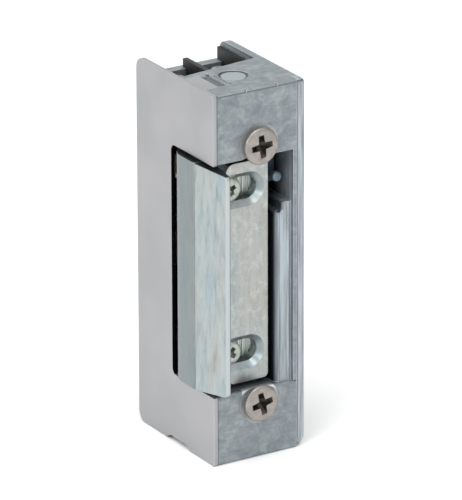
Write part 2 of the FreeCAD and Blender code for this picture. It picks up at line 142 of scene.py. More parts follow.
# masks by place: fades are (measure, where the mask begins, where it is full, how strong it gets), limits are
# (measure, comparison, place, slack), and joined masks hold where all their members do; all in mm
def makeMasks(tree, measures, v):
    masks = {}
    for name, (measure, start, full, most) in v["fades"].items():
        masks[name] = addNode(tree, "ShaderNodeMapRange", {
            "Value": measures[measure], "From Min": start, "From Max": full, "To Max": most,
        }).outputs[0]
    for name, (measure, comparison, place, slack) in v["limits"].items():
        masks[name] = addNode(tree, "ShaderNodeMath", {
            0: measures[measure], 1: place, 2: slack,
        }, operation=comparison).outputs[0]
    for name, members in v["joined"].items():
        masks[name] = masks[members[0]]
        for member in members[1:]:
            masks[name] = addNode(tree, "ShaderNodeMath", {
                0: masks[name], 1: masks[member],
            }, operation="MULTIPLY").outputs[0]
    return masks


# lays shades over a colour, one after another, each where its mask is
def layShades(tree, colour, layers):
    for mask, code in layers:
        colour = addNode(tree, "ShaderNodeMix", {
            0: mask, 6: colour, 7: hexToLinear(code),
        }, data_type="RGBA").outputs[2]
    return colour


dieCastValues = {
    "metallic": 0.62, "roughness": 0.46, "edge": 0.25,
    "dark": "#747f85", "middle": "#868d91", "light": "#979fa2", "streakHighlight": "#adb7be", "sunk": "#656f73",
    "disc": "#9fa7aa", "shadedGap": "#151c20", "edgeWearAndHighlight": "#bcc3c6", "paintedLightCountersink": "#d8dee0", "outerEdgeShade": "#4f5b60",
    "paintedInsideShade": "#10181e",
    # pattern sizes in mm, and how much of the second and third pattern is mixed in
    "blotch": 2.8, "speckle": 0.55, "grain": 0.3, "speckleShare": 0.35, "handlingShare": 0.18,
    "drawn": (1.6, 1.6, 0.09), "grainDepth": 0.012, "waveDepth": 0.05, "raggedness": 5.0,
    "screwAxis": (-0.2, 0.0, 26.1),
    "fades": {
        "wallEdge": ("X", 8.0, 8.7, 1.0), "behindFront": ("Y", 0.5, 0.9, 1.0),
        "between": ("end", 23.6, 23.2, 1.0), "nearFront": ("Y", 3.0, 2.0, 1.0),
        "deep": ("Y", 3.2, 7.0, 1.0), "notWall": ("X", 8.9, 8.2, 1.0), "notBack": ("Y", 27.6, 26.9, 1.0),
        "notEnd": ("end", 24.2, 23.6, 1.0), "nearTop": ("Z", 36.9, 37.0, 1.0),
        "besideKeeper": ("X", 4.7, 3.95, 1.0), "shallow": ("Y", 14.0, 12.0, 1.0),
        "aboveRib": ("ragged", 13.4, 14.2, 1.0), "leftOfRib": ("X", 6.2, 5.2, 1.0),
        "coverEdge": ("X", -9.2, -9.42, 0.8), "outermost": ("X", 9.8, 10.05, 0.75),
    },
    "limits": {
        "belowTop": ("Z", "LESS_THAN", 37.27, 0.0), "onDisc": ("Z", "COMPARE", 37.3, 0.02),
        "atFront": ("Y", "LESS_THAN", 0.2, 0.0), "frontRound": ("Y", "LESS_THAN", 0.9, 0.0),
        "nearScrew": ("screw", "LESS_THAN", 4.35, 0.0), "sunkIn": ("Y", "COMPARE", 0.78, 0.75),
    },
    "joined": {
        "rib": ["behindFront", "between"], "room": ["deep", "notWall", "notBack", "notEnd"],
        "marks": ["belowTop", "nearTop"], "shadedGap": ["besideKeeper", "shallow", "rib"],
        "raggedShade": ["aboveRib", "leftOfRib", "rib", "shallow"], "coverJoint": ["coverEdge", "atFront"],
        # the wall's outermost front edge is painted as a dark line, a painted shade
        "countersunk": ["nearScrew", "sunkIn"], "outerEdgeShadeMask": ["outermost", "frontRound"],
    },
}


# high-pressure die-cast zinc, as ejected: blue grey, clouded by the flow of the metal, finely rough;
# the ribs and the wall's edge carry streaks from the die's drag, lightened further as a painted highlight,
# and the inside is painted dark as painted shade
def makeDieCastZinc():
    v = dieCastValues
    base = startMaterial("dieCastZinc", v)
    tree, place, axes = base["tree"], base["place"], base["axes"]
    flow = addNode(tree, "ShaderNodeTexNoise", {
        "Vector": place, "Scale": 1 / v["blotch"], "Detail": 5.0, "Roughness": 0.6, "Distortion": 0.7,
    })
    speckle = addNode(tree, "ShaderNodeTexNoise", {
        "Vector": place, "Scale": 1 / v["speckle"], "Detail": 4.0, "Roughness": 0.7, "Distortion": 0.6,
    })
    mottled = addNode(tree, "ShaderNodeMix", {
        0: v["speckleShare"], 2: flow.outputs["Fac"], 3: speckle.outputs["Fac"],
    }, data_type="FLOAT")
    slanted = addNode(tree, "ShaderNodeMapping", {
        "Vector": place, "Rotation": (0.0, 0.5, 0.0), "Scale": (0.35, 1.0, 1.3),
    })
    handling = addNode(tree, "ShaderNodeTexNoise", {"Vector": slanted.outputs[0], "Scale": 1.0, "Detail": 3.0})
    handled = addNode(tree, "ShaderNodeMix", {
        0: v["handlingShare"], 2: mottled.outputs[0], 3: handling.outputs["Fac"],
    }, data_type="FLOAT")
    cloudy = addNode(tree, "ShaderNodeValToRGB", {"Fac": handled.outputs[0]}, stops=[
        (0.4, v["dark"]), (0.5, v["middle"]), (0.6, v["light"]),
    ])
    drawn = addNode(tree, "ShaderNodeVectorMath", {0: place, 1: v["drawn"]}, operation="MULTIPLY")
    streaks = addNode(tree, "ShaderNodeTexNoise", {"Vector": drawn.outputs[0], "Scale": 1.0, "Detail": 4.0})
    streakedHighlight = addNode(tree, "ShaderNodeValToRGB", {"Fac": streaks.outputs["Fac"]}, stops=[
        (0.35, v["middle"]), (0.62, v["streakHighlight"]),
    ])
    end = addNode(tree, "ShaderNodeMath", {0: axes["Z"]}, operation="ABSOLUTE")
    ragged = addNode(tree, "ShaderNodeMath", {
        0: speckle.outputs["Fac"], 1: v["raggedness"], 2: axes["Z"],
    }, operation="MULTIPLY_ADD")
    mirrored = addNode(tree, "ShaderNodeCombineXYZ", {"X": axes["X"], "Z": end.outputs[0]})
    screw = addNode(tree, "ShaderNodeVectorMath", {
        0: mirrored.outputs[0], 1: v["screwAxis"],
    }, operation="DISTANCE")
    masks = makeMasks(tree, {
        "X": axes["X"], "Y": axes["Y"], "Z": axes["Z"], "end": end.outputs[0], "ragged": ragged.outputs[0],
        "screw": screw.outputs["Value"],
    }, v)
    # lighter streaks on the ribs and the wall's edge: die drag, and a painted highlight
    dieDragAndHighlight = addNode(tree, "ShaderNodeMath", {0: masks["rib"], 1: masks["wallEdge"]}, operation="MAXIMUM")
    draggedAndHighlit = addNode(tree, "ShaderNodeMath", {
        0: dieDragAndHighlight.outputs[0], 1: masks["nearFront"],
    }, operation="MULTIPLY")
    skin = addNode(tree, "ShaderNodeMix", {
        0: draggedAndHighlit.outputs[0], 6: cloudy.outputs[0], 7: streakedHighlight.outputs[0],
    }, data_type="RGBA")
    # painted shade: the gap beside the keeper, the ragged dark above the rib and the line along the cover's
    # joint
    besideRib = addNode(tree, "ShaderNodeMath", {0: masks["shadedGap"], 1: masks["raggedShade"]}, operation="MAXIMUM")
    darkest = addNode(tree, "ShaderNodeMath", {
        0: besideRib.outputs[0], 1: masks["coverJoint"],
    }, operation="MAXIMUM")
    # the sunk marks on the top are painted darker and the ejector pin's disc lighter; the countersinks are
    # painted near white, a painted light over the shade in their recesses
    colour = layShades(tree, skin.outputs[2], [
        # the inside is painted dark: painted shade
        (masks["room"], v["paintedInsideShade"]), (masks["marks"], v["sunk"]), (masks["onDisc"], v["disc"]),
        # edges lightened as wear and as a painted highlight
        (masks["countersunk"], v["paintedLightCountersink"]), (base["edgeWearAndHighlight"], v["edgeWearAndHighlight"]), (masks["outerEdgeShadeMask"], v["outerEdgeShade"]),
        (darkest.outputs[0], v["shadedGap"]),
    ])
    tree.links.new(colour, base["shader"].inputs["Base Color"])
    sheen = addNode(tree, "ShaderNodeMapRange", {
        "Value": speckle.outputs["Fac"], "From Min": 0.3, "From Max": 0.7,
        "To Min": v["roughness"] - 0.09, "To Max": v["roughness"] + 0.08,
    })
    tree.links.new(sheen.outputs[0], base["shader"].inputs["Roughness"])
    grain = addNode(tree, "ShaderNodeTexNoise", {"Vector": place, "Scale": 1 / v["grain"], "Detail": 3.0})
    relief = addNode(tree, "ShaderNodeBump", {
        "Strength": 0.55, "Distance": v["grainDepth"] * mm, "Height": grain.outputs["Fac"],
        "Normal": base["rounded"],
    })
    waves = addNode(tree, "ShaderNodeBump", {
        "Strength": 0.5, "Distance": v["waveDepth"] * mm, "Height": flow.outputs["Fac"],
        "Normal": relief.outputs[0],
    })
    tree.links.new(waves.outputs[0], base["shader"].inputs["Normal"])
    return base["material"]


coverValues = {
    "metallic": 0.75, "roughness": 0.42, "edge": 0.2,
    "pale": "#a7a7a9", "shade": "#a0a1a3", "rubbedEdgeAndHighlight": "#c6c6c8", "shadedCutEdge": "#0b0d0e",
    "cloud": 14.0, "line": 0.25, "drawn": (1.0, 1.0, 0.04), "lineDepth": 0.004,
    "fades": {},
    "limits": {"toFront": ("facingY", "LESS_THAN", -0.35, 0.0), "behind": ("Y", "GREATER_THAN", 12.0, 0.0)},
    "joined": {"shadedCutEdge": ["toFront", "behind"]},
}


# cold-rolled stainless sheet, fine satin: an even pale grey, with faint rolling lines along its height;
# the edge of its cut-out is painted black, a painted shade
def makeSatinSheet():
    v = coverValues
    base = startMaterial("satinStainlessSheet", v)
    tree, place = base["tree"], base["place"]
    cloud = addNode(tree, "ShaderNodeTexNoise", {"Vector": place, "Scale": 1 / v["cloud"], "Detail": 2.0})
    tone = addNode(tree, "ShaderNodeValToRGB", {"Fac": cloud.outputs["Fac"]}, stops=[
        (0.4, v["shade"]), (0.6, v["pale"]),
    ])
    masks = makeMasks(tree, {"Y": base["axes"]["Y"], "facingY": base["facing"]["Y"]}, v)
    # edges lightened as wear and as a painted highlight
    colour = layShades(tree, tone.outputs[0], [(base["edgeWearAndHighlight"], v["rubbedEdgeAndHighlight"]), (masks["shadedCutEdge"], v["shadedCutEdge"])])
    tree.links.new(colour, base["shader"].inputs["Base Color"])
    drawn = addNode(tree, "ShaderNodeVectorMath", {0: place, 1: v["drawn"]}, operation="MULTIPLY")
    lines = addNode(tree, "ShaderNodeTexNoise", {
        "Vector": drawn.outputs[0], "Scale": 1 / v["line"], "Detail": 2.0,
    })
    relief = addNode(tree, "ShaderNodeBump", {
        "Strength": 0.25, "Distance": v["lineDepth"] * mm, "Height": lines.outputs["Fac"],
        "Normal": base["rounded"],
    })
    tree.links.new(relief.outputs[0], base["shader"].inputs["Normal"])
    return base["material"]


zincPlateValues = {
    "metallic": 0.88, "roughness": 0.35, "edge": 0.2,
    "grey": "#828d8f", "even": "#9fa8a8", "pale": "#b0b7b6", "cool": "#8fa3ac", "warm": "#aaa59d",
    "endShade": "#222b2b", "rearShade": "#727b7d", "bright": "#b3babb", "line": "#5b6567", "paintedLightTeeth": "#d3dad6",
    "bloom": "#ccd0cc",
    "blotch": 5.0, "drawn": (1.0, 1.0, 0.2), "pulled": (1.0, 1.0, 0.22), "tintShare": 0.42, "strawShare": 0.35,
    "streakDepth": 0.02,
    "fades": {
        "rearFace": ("Y", 5.2, 5.5, 0.7), "endFace": ("upright", 0.75, 0.95, 0.85),
        "lipTip": ("Y", -2.9, -3.2, 1.0), "innerEdge": ("X", -8.8, -8.6, 1.0),
    },
    "limits": {
        "toFloor": ("facingY", "LESS_THAN", -0.9, 0.0), "leftSide": ("X", "LESS_THAN", -8.5, 0.0),
        "behindJaw": ("Y", "GREATER_THAN", 5.25, 0.0), "underSlots": ("X", "GREATER_THAN", -8.0, 0.0),
    },
    "joined": {
        "rearSide": ["rearFace", "leftSide"], "paintedLightTeeth": ["behindJaw", "underSlots"],
        "lipEdgeShade": ["innerEdge", "lipTip"],
    },
}


# steel with blue-passivated zinc plate: pale, streaked along its rolled height, with faint blue and straw
# tints from the thin passive film and white bloom where damp has sat; the end faces and the rear facet are
# painted dark as painted shade, and the teeth are painted bright as painted light
def makeBluePassivated():
    v = zincPlateValues
    base = startMaterial("bluePassivatedZinc", v)
    tree, place = base["tree"], base["place"]
    drawn = addNode(tree, "ShaderNodeVectorMath", {0: place, 1: v["drawn"]}, operation="MULTIPLY")
    streaks = addNode(tree, "ShaderNodeTexNoise", {
        "Vector": drawn.outputs[0], "Scale": 0.8, "Detail": 8.0, "Roughness": 0.7, "Distortion": 0.35,
    })
    grey = addNode(tree, "ShaderNodeValToRGB", {"Fac": streaks.outputs["Fac"]}, stops=[
        (0.38, v["grey"]), (0.5, v["even"]), (0.62, v["pale"]),
    ])
    pulled = addNode(tree, "ShaderNodeVectorMath", {0: place, 1: v["pulled"]}, operation="MULTIPLY")
    film = addNode(tree, "ShaderNodeTexNoise", {
        "Vector": pulled.outputs[0], "Scale": 1 / v["blotch"], "Detail": 7.0, "Roughness": 0.7,
        "Distortion": 0.3,
    })
    tint = addNode(tree, "ShaderNodeValToRGB", {"Fac": film.outputs["Fac"]}, stops=[
        (0.4, v["warm"]), (0.5, v["pale"]), (0.6, v["cool"]),
    ])
    skin = addNode(tree, "ShaderNodeMix", {
        0: v["tintShare"], 6: grey.outputs[0], 7: tint.outputs[0],
    }, data_type="RGBA")
    upright = addNode(tree, "ShaderNodeMath", {0: base["facing"]["Z"]}, operation="ABSOLUTE")
    masks = makeMasks(tree, {
        "X": base["axes"]["X"], "Y": base["axes"]["Y"], "facingY": base["facing"]["Y"],
        "upright": upright.outputs[0],
    }, v)
    straw = addNode(tree, "ShaderNodeMath", {0: masks["toFloor"], 1: v["strawShare"]}, operation="MULTIPLY")
    bloom = addNode(tree, "ShaderNodeTexNoise", {
        "Vector": place, "Scale": 0.55, "Detail": 10.0, "Roughness": 0.78, "Distortion": 0.0,
    })
    bloomed = addNode(tree, "ShaderNodeMapRange", {
        "Value": bloom.outputs["Fac"], "From Min": 0.5, "From Max": 0.62, "To Max": 0.4,
    })
    bloomOnFloor = addNode(tree, "ShaderNodeMath", {
        0: bloomed.outputs[0], 1: masks["toFloor"],
    }, operation="MULTIPLY")
    # the lip's tip is painted bright with the worn edges: a painted highlight
    rubbedAndHighlit = addNode(tree, "ShaderNodeMath", {0: base["edgeWearAndHighlight"], 1: masks["lipTip"]}, operation="MAXIMUM")
    colour = layShades(tree, skin.outputs[2], [
        # the rear facet is painted darker: painted shade
        (straw.outputs[0], v["warm"]), (bloomOnFloor.outputs[0], v["bloom"]), (masks["rearSide"], v["rearShade"]),
        # the teeth are painted bright: painted light over their shade
        (masks["paintedLightTeeth"], v["paintedLightTeeth"]), (masks["endFace"], v["endShade"]), (rubbedAndHighlit.outputs[0], v["bright"]),
        # a dark line along the lip's inner edge: painted shade
        (masks["lipEdgeShade"], v["line"]),
    ])
    tree.links.new(colour, base["shader"].inputs["Base Color"])
    polish = addNode(tree, "ShaderNodeMapRange", {
        "Value": streaks.outputs["Fac"], "From Min": 0.3, "From Max": 0.7,
        "To Min": v["roughness"] - 0.08, "To Max": v["roughness"] + 0.08,
    })
    tree.links.new(polish.outputs[0], base["shader"].inputs["Roughness"])
    relief = addNode(tree, "ShaderNodeBump", {
        "Strength": 0.4, "Distance": v["streakDepth"] * mm, "Height": streaks.outputs["Fac"],
        "Normal": base["rounded"],
    })
    tree.links.new(relief.outputs[0], base["shader"].inputs["Normal"])
    return base["material"]


# the finishes of the small parts: low and high are the two shades of a mottle, size its size in mm, stretch
# its squeeze along Z, edge the rounding and depth the relief in mm
smallFinishes = {
    # nickel plate over turned steel: warm grey, satin, with a soft mottle
    "nickelPlatedSteel": {"metallic": 0.75, "roughness": 0.4, "low": "#908a85", "high": "#a49e98",
                          "size": 1.4, "stretch": 1.0, "edge": 0.12, "depth": 0.006},
    # nickel plate on a small formed knob, dulled by handling; its dark, cool grey is a painted reflection of
    # its bluish surroundings
    "nickelKnobCoolReflection": {"metallic": 0.7, "roughness": 0.5, "low": "#6f7e89", "high": "#8b99a3",
                          "size": 1.2, "stretch": 1.0, "edge": 0.2, "depth": 0.003},
    # zinc-plated steel, barrel finished: paler than the nickel, with a cool sheen
    "zincPlatedScrewSteel": {"metallic": 0.85, "roughness": 0.32, "low": "#9aa09a", "high": "#b9beb6",
                             "size": 1.0, "stretch": 1.0, "edge": 0.1, "depth": 0.004},
    # drawn spring wire and ground pins: dark grey, drawn along their length
    "drawnSpringSteel": {"metallic": 0.9, "roughness": 0.32, "low": "#6c7073", "high": "#90959a",
                         "size": 0.5, "stretch": 0.2, "edge": 0.05, "depth": 0.003},
    # annealed soft iron, stamped: neutral grey with a faint oxide cloud
    "annealedIron": {"metallic": 0.85, "roughness": 0.45, "low": "#6f7478", "high": "#8d9296",
                     "size": 2.5, "stretch": 1.0, "edge": 0.12, "depth": 0.006},
    # blued strip steel: dark with a cool cast
    "bluedStripSteel": {"metallic": 0.8, "roughness": 0.42, "low": "#4a5863", "high": "#667681",
                        "size": 1.8, "stretch": 1.0, "edge": 0.1, "depth": 0.004},
    # glass-filled nylon, moulded black: matt, slightly cloudy where the fibres lie at the surface
    "blackNylon": {"metallic": 0.0, "roughness": 0.52, "low": "#0e0f10", "high": "#1b1c1d",
                   "size": 0.9, "stretch": 1.0, "edge": 0.15, "depth": 0.006},
    # natural nylon, moulded: milky cream
    "naturalNylon": {"metallic": 0.0, "roughness": 0.45, "low": "#cfc8b6", "high": "#ded8c8",
                     "size": 2.0, "stretch": 1.0, "edge": 0.15, "depth": 0.003},
    # enamelled copper magnet wire: deep orange under a glossy lacquer
    "enamelledCopper": {"metallic": 0.9, "roughness": 0.2, "low": "#8f4a22", "high": "#b26a37",
                        "size": 1.5, "stretch": 1.0, "edge": 0.04, "depth": 0.002},
    # polyester coil tape: smooth yellow film
    "polyesterTape": {"metallic": 0.0, "roughness": 0.3, "low": "#c39a1e", "high": "#d8b338",
                      "size": 3.0, "stretch": 1.0, "edge": 0.05, "depth": 0.002},
    # stamped brass: yellow, satin
    "stampedBrass": {"metallic": 0.9, "roughness": 0.34, "low": "#a98a45", "high": "#c6a860",
                     "size": 1.6, "stretch": 1.0, "edge": 0.1, "depth": 0.004},
}
recessShadeColour = "#1a1714"


def makeSmallFinish(name):
    v = smallFinishes[name]
    base = startMaterial(name, v)
    tree = base["tree"]
    drawn = addNode(tree, "ShaderNodeVectorMath", {
        0: base["place"], 1: (1.0, 1.0, v["stretch"]),
    }, operation="MULTIPLY")
    mottle = addNode(tree, "ShaderNodeTexNoise", {
        "Vector": drawn.outputs[0], "Scale": 1 / v["size"], "Detail": 5.0, "Roughness": 0.65,
    })
    tone = addNode(tree, "ShaderNodeValToRGB", {"Fac": mottle.outputs["Fac"]}, stops=[
        (0.35, v["low"]), (0.65, v["high"]),
    ])
    # edges half lightened as wear and as a painted highlight
    half = addNode(tree, "ShaderNodeMath", {0: base["edgeWearAndHighlight"], 1: 0.5}, operation="MULTIPLY")
    recessShade = addNode(tree, "ShaderNodeAttribute", attribute_name="recessShade")  # painted shade in a screw's recess
    colour = layShades(tree, tone.outputs[0], [
        (half.outputs[0], v["high"]), (recessShade.outputs["Fac"], recessShadeColour),
    ])
    tree.links.new(colour, base["shader"].inputs["Base Color"])
    relief = addNode(tree, "ShaderNodeBump", {
        "Strength": 0.4, "Distance": v["depth"] * mm, "Height": mottle.outputs["Fac"],
        "Normal": base["rounded"],
    })
    tree.links.new(relief.outputs[0], base["shader"].inputs["Normal"])
    return base["material"]


finishes = {name: makeSmallFinish(name) for name in smallFinishes}
finishes["dieCastZinc"] = makeDieCastZinc()
finishes["satinStainlessSheet"] = makeSatinSheet()
finishes["bluePassivatedZinc"] = makeBluePassivated()
print("finishes made:", len(finishes))

nodeFinish = {
    "housing_casting": "dieCastZinc", "cover_plate": "satinStainlessSheet",
    "keeper_pivot_pin": "zincPlatedScrewSteel", "faceplate_screws": "nickelPlatedSteel",
    "keeper_base": "bluePassivatedZinc", "keeper_jaw": "bluePassivatedZinc",
    "jaw_screws": "zincPlatedScrewSteel",
    "keeper_return_spring": "drawnSpringSteel", "locking_lever": "zincPlatedScrewSteel",
    "lever_pivot_pin": "drawnSpringSteel", "lever_spring": "drawnSpringSteel", "armature": "annealedIron",
    "armature_shim": "stampedBrass", "armature_hinge_pin": "drawnSpringSteel",
    "armature_spring": "drawnSpringSteel", "yoke": "annealedIron", "core": "annealedIron",
    "coil_bobbin": "naturalNylon", "coil_winding": "enamelledCopper", "coil_wrap": "polyesterTape",
    "coil_leads": "enamelledCopper", "terminal_carrier": "blackNylon", "terminal_contacts": "stampedBrass",
    "terminal_clamps": "nickelPlatedSteel", "terminal_screws": "nickelPlatedSteel",
    "hold_open_slider": "bluedStripSteel", "slider_button": "nickelKnobCoolReflection",
    "slider_guide_pin": "drawnSpringSteel",
}
for nodeName, finishName in nodeFinish.items():
    slots = nodes[nodeName].data.materials
    slots.clear()
    slots.append(finishes[finishName])
print("finishes given to", len(nodeFinish), "nodes")


# runs a Geometry Nodes tree on an empty mesh and keeps its result as a plain mesh object at the origin
def bakeTree(name, tree, values):
    seed = bpy.data.objects.new(name + "Seed", bpy.data.meshes.new(name + "Seed"))
    bpy.context.scene.collection.objects.link(seed)
    modifier = seed.modifiers.new("build", "NODES")
    modifier.node_group = tree
    for item in tree.interface.items_tree:
        if item.item_type == "SOCKET" and item.in_out == "INPUT" and item.name in values:
            modifier[item.identifier] = values[item.name]
    bpy.context.view_layer.update()
    evaluated = seed.evaluated_get(bpy.context.evaluated_depsgraph_get())
    mesh = bpy.data.meshes.new_from_object(evaluated)
    seed.modifiers.remove(modifier)
    bpy.data.objects.remove(seed)
    piece = bpy.data.objects.new(name, mesh)
    bpy.context.scene.collection.objects.link(piece)
    return piece


def startTree(name, sockets):
    tree = bpy.data.node_groups.new(name, "GeometryNodeTree")
    tree.interface.new_socket("Geometry", in_out="OUTPUT", socket_type="NodeSocketGeometry")
    for label, kind in sockets:
        tree.interface.new_socket(label, in_out="INPUT", socket_type=kind)
    return tree, addNode(tree, "NodeGroupInput").outputs


def endTree(tree, geometry, material):
    whole = addNode(tree, "GeometryNodeRealizeInstances", {0: geometry})
    finished = addNode(tree, "GeometryNodeSetMaterial", {"Geometry": whole.outputs[0], "Material": material})
    addNode(tree, "NodeGroupOutput", {0: finished.outputs[0]})


def keepMesh(name, mesh):
    bmesh.ops.recalc_face_normals(mesh, faces=mesh.faces)
    data = bpy.data.meshes.new(name)
    mesh.to_mesh(data)
    mesh.free()
    piece = bpy.data.objects.new(name, data)
    bpy.context.scene.collection.objects.link(piece)
    return piece


# the thread in steps per turn, its depth as a share of the pitch, and the plain neck above it in mm
threadValues = {"around": 48, "stepsPerTurn": 8, "depthShare": 0.3, "neck": 0.1}


# a screw's lathed head and threaded shank, head top at the origin and shank along -Z
def turnScrew(name, v):
    around = threadValues["around"]
    perTurn = threadValues["stepsPerTurn"]
    steps = int(v["thread"] / v["pitch"] * perTurn)
    start = v["head"][-1][1]
    rings = [[(radius, z)] * around for radius, z in v["head"]]
    for step in range(steps + 1):
        z = start - threadValues["neck"] - step * v["thread"] / steps
        fade = min(1.0, step / perTurn, (steps - step) / perTurn)
        ring = []
        for i in range(around):
            phase = (z / v["pitch"] + i / around) % 1.0
            crest = 1.0 - abs(2.0 * phase - 1.0)
            ring.append((v["shank"] - threadValues["depthShare"] * v["pitch"] * (1.0 - crest) * fade, z))
        rings.append(ring)
    mesh = bmesh.new()
    grid = []
    for ring in rings:
        corners = []
        for i, (radius, z) in enumerate(ring):
            angle = math.tau * i / around
            corners.append(mesh.verts.new((
                radius * mm * math.cos(angle), radius * mm * math.sin(angle), z * mm,
            )))
        grid.append(corners)
    for upper, lower in zip(grid, grid[1:]):
        for i in range(around):
            j = (i + 1) % around
            mesh.faces.new((upper[i], lower[i], lower[j], upper[j]))
    mesh.faces.new(grid[0])
    mesh.faces.new(list(reversed(grid[-1])))
    return keepMesh(name, mesh)


# the tapered cross that a driver fits, to be cut from the head
def makeCross(name, v):
    half, reach, depth = v["slotHalf"], v["slotReach"], v["slotDepth"]
    above = 0.4
    mesh = bmesh.new()
    layers = []
    # each layer: height, half width of the slot, how far its arms reach
    for z, wide, far in (
        (above, half * 1.06, reach * 1.1),
        (-depth * 0.55, half * 0.9, reach * 0.66),
        (-depth, half * 0.55, half * 0.6),
    ):
        corners = []
        for quarter in range(4):
            turn = Matrix.Rotation(quarter * math.pi / 2, 2)
            for x, y in ((far, -wide), (far, wide), (wide * 1.25, wide * 1.25)):
                corner = turn @ Vector((x, y))
                corners.append(mesh.verts.new((corner.x * mm, corner.y * mm, z * mm)))
        layers.append(corners)
    for upper, lower in zip(layers, layers[1:]):
        for i in range(len(upper)):
            j = (i + 1) % len(upper)
            mesh.faces.new((upper[i], upper[j], lower[j], lower[i]))
    mesh.faces.new(layers[0])
    mesh.faces.new(list(reversed(layers[-1])))
    return keepMesh(name, mesh)


# the screw with its cross cut out; the recess is painted dark as painted shade, less so at its bottom
def makeScrew(name, v):
    screw = turnScrew(name, v)
    cross = makeCross(name + "Cross", v)
    cut = screw.modifiers.new("cross", "BOOLEAN")
    cut.operation = "DIFFERENCE"
    cut.solver = "EXACT"
    cut.object = cross
    bpy.context.view_layer.update()
    result = bpy.data.meshes.new_from_object(screw.evaluated_get(bpy.context.evaluated_depsgraph_get()))
    screw.modifiers.remove(cut)
    screw.data = result
    bpy.data.objects.remove(cross)
    recessShade = result.attributes.new("recessShade", "FLOAT", "FACE")
    for polygon in result.polygons:
        middle = polygon.center / mm
        inRecess = math.hypot(middle.x, middle.y) < v["slotReach"] and -v["slotDepth"] - 0.1 < middle.z
        flatTop = abs(polygon.normal.z) > 0.9 and middle.z > -0.3
        bottom = middle.z < -0.85 * v["slotDepth"]
        recessDarkness = v["recessShade"] * (0.55 if bottom else 1.0)
        recessShade.data[polygon.index].value = recessDarkness if inRecess and not flatTop else 0.0
        polygon.use_smooth = not inRecess and middle.z > v["head"][-1][1]
    return screw


# screws standing in a row, each turned on a little from the last
screwRow, given = startTree("screwRow", [
    ("Screw", "NodeSocketObject"), ("Count", "NodeSocketInt"), ("First", "NodeSocketVector"),
    ("Step", "NodeSocketVector"), ("Facing", "NodeSocketRotation"), ("Turn", "NodeSocketFloat"),
    ("Turn Step", "NodeSocketFloat"), ("Finish", "NodeSocketMaterial"),
])
line = addNode(screwRow, "GeometryNodeMeshLine", {
    "Count": given["Count"], "Start Location": given["First"], "Offset": given["Step"],
})
number = addNode(screwRow, "GeometryNodeInputIndex")
turned = addNode(screwRow, "ShaderNodeMath", {
    0: number.outputs[0], 1: given["Turn Step"], 2: given["Turn"],
}, operation="MULTIPLY_ADD")
spin = addNode(screwRow, "FunctionNodeAxisAngleToRotation", {"Angle": turned.outputs[0]})
aimed = addNode(screwRow, "FunctionNodeRotateRotation", {
    0: given["Facing"], 1: spin.outputs[0],
}, rotation_space="LOCAL")
source = addNode(screwRow, "GeometryNodeObjectInfo", {"Object": given["Screw"], "As Instance": True})
stood = addNode(screwRow, "GeometryNodeInstanceOnPoints", {
    "Points": line.outputs[0], "Instance": source.outputs["Geometry"], "Rotation": aimed.outputs[0],
})
endTree(screwRow, stood.outputs[0], given["Finish"])

screwSets = {
    # head is the turned profile, (radius, height) from its crown down; front screws face -Y, terminals +Z
    "faceplateScrewPair": {
        "node": "faceplate_screws", "slot": "nickel_plated_steel", "finish": "nickelPlatedSteel",
        "facing": (math.pi / 2, 0, 0), "turn": 0.12, "turnStep": 0.09,
        "head": [(0.7, 0.0), (1.9, -0.02), (2.9, -0.06), (3.4, -0.16), (3.6, -0.32), (3.66, -0.5),
                 (3.6, -0.72), (3.3, -1.05), (1.97, -2.4)],
        "shank": 1.95, "pitch": 0.7, "slotHalf": 0.55, "slotReach": 2.35, "slotDepth": 1.8, "recessShade": 0.85,
    },
    "jawScrewPair": {
        "node": "jaw_screws", "slot": "zinc_plated_steel", "finish": "zincPlatedScrewSteel",
        "facing": (math.pi / 2, 0, 0), "turn": 0.5, "turnStep": 0.4,
        "head": [(0.6, 0.0), (1.6, -0.02), (2.25, -0.08), (2.45, -0.22), (2.42, -0.34), (1.45, -1.1)],
        "shank": 1.42, "pitch": 0.5, "slotHalf": 0.42, "slotReach": 1.4, "slotDepth": 1.3, "recessShade": 0.3,
    },
    "terminalScrewPair": {
        "node": "terminal_screws", "slot": "nickel_plated_steel", "finish": "nickelPlatedSteel",
        "facing": (0, 0, 0), "turn": 0.7, "turnStep": 0.9,
        "head": [(0.5, 0.0), (1.3, -0.03), (1.65, -0.12), (1.8, -0.3), (1.8, -1.2), (1.7, -1.3), (1.15, -1.4)],
        "shank": 1.15, "pitch": 0.5, "slotHalf": 0.32, "slotReach": 1.1, "slotDepth": 0.9, "recessShade": 0.8,
    },
}


# the set's place is the CAD node's own box: heads outermost, one screw at each end of it
def placeScrews(name):
    v = dict(screwSets[name])
    low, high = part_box(v["node"])
    radius = max(row[0] for row in v["head"]) * mm
    tipGap = 0.2
    if v["facing"][0]:
        first = Vector(((low.x + high.x) / 2, low.y, high.z - radius))
        last = Vector((first.x, low.y, low.z + radius))
        v["thread"] = (high.y - low.y) / mm + v["head"][-1][1] - tipGap
    else:
        first = Vector((low.x + radius, (low.y + high.y) / 2, high.z))
        last = Vector((high.x - radius, first.y, high.z))
        v["thread"] = (high.z - low.z) / mm + v["head"][-1][1] - tipGap
    screw = makeScrew(name + "Pattern", v)
    piece = bakeTree(name, screwRow, {
        "Screw": screw, "Count": 2, "First": first, "Step": last - first, "Facing": v["facing"],
        "Turn": v["turn"], "Turn Step": v["turnStep"], "Finish": finishes[v["finish"]],
    })
    bpy.data.objects.remove(screw)
    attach(piece, nodes[v["node"]]["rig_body"])
    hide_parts(v["node"])
    print(name, "made:", len(piece.data.polygons), "faces")


for setName in screwSets:
    placeScrews(setName)


